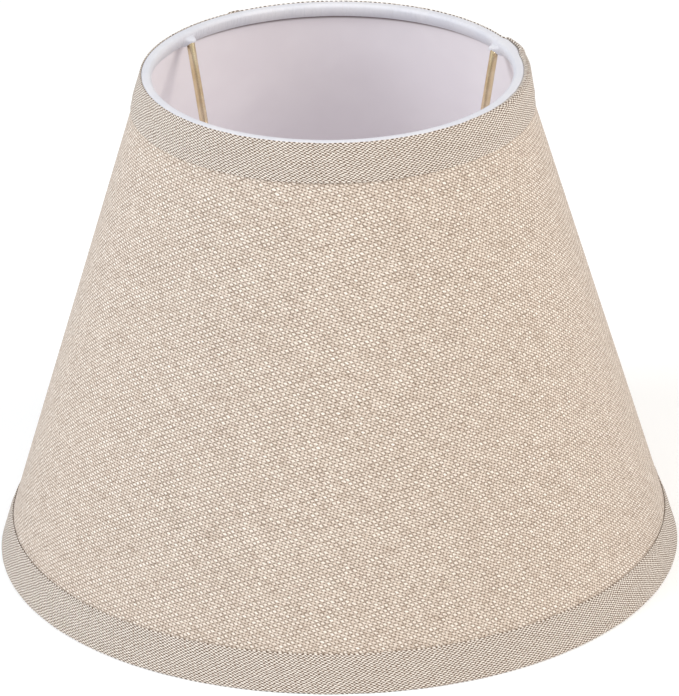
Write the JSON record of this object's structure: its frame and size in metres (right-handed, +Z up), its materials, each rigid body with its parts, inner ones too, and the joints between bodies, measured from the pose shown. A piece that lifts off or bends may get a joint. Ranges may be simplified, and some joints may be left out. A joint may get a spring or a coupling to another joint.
{
  "type": "lamp shade",
  "caption": "Empire lamp shade in coarse heathered cloth on a stiff white liner, with trimmed and taped edges, wire rings and a brass slip fitter.",
  "frame": {"origin": "centre of the circle that the bottom edge stands on", "axes": "+Z up the axis of the cone, from the wide bottom opening to the narrow top one; +Y towards the back, with the lap seam 70 degrees round from it towards +X"},
  "size_m": [0.2808, 0.2808, 0.208],
  "materials": {
    "ring_steel": "zinc-plated wire, satin",
    "fitter_brass": "brass-plated steel wire and sheet, polished",
    "liner_sheet": "smooth white plastic sheet, satin",
    "shade_cloth": "coarse heathered plain weave with slubs, oatmeal to pinkish beige",
    "trim_cloth": "the same cloth cut on the bias, folded edges",
    "white_tape": "smooth white self-adhesive tape",
    "seam_glue": "clear to straw-coloured double-sided adhesive film"
  },
  "bodies": {
    "root": {"top_ring_wire": "ring_steel", "bottom_ring_wire": "ring_steel", "fitter_collar": "fitter_brass", "fitter_arm_1": "fitter_brass", "fitter_arm_2": "fitter_brass", "fitter_arm_3": "fitter_brass", "hardback_liner": "liner_sheet", "shade_fabric": "shade_cloth", "seam_adhesive": "seam_glue", "top_tape": "white_tape", "bottom_tape": "white_tape", "top_trim": "trim_cloth", "bottom_trim": "trim_cloth"}
  },
  "joints": []
}
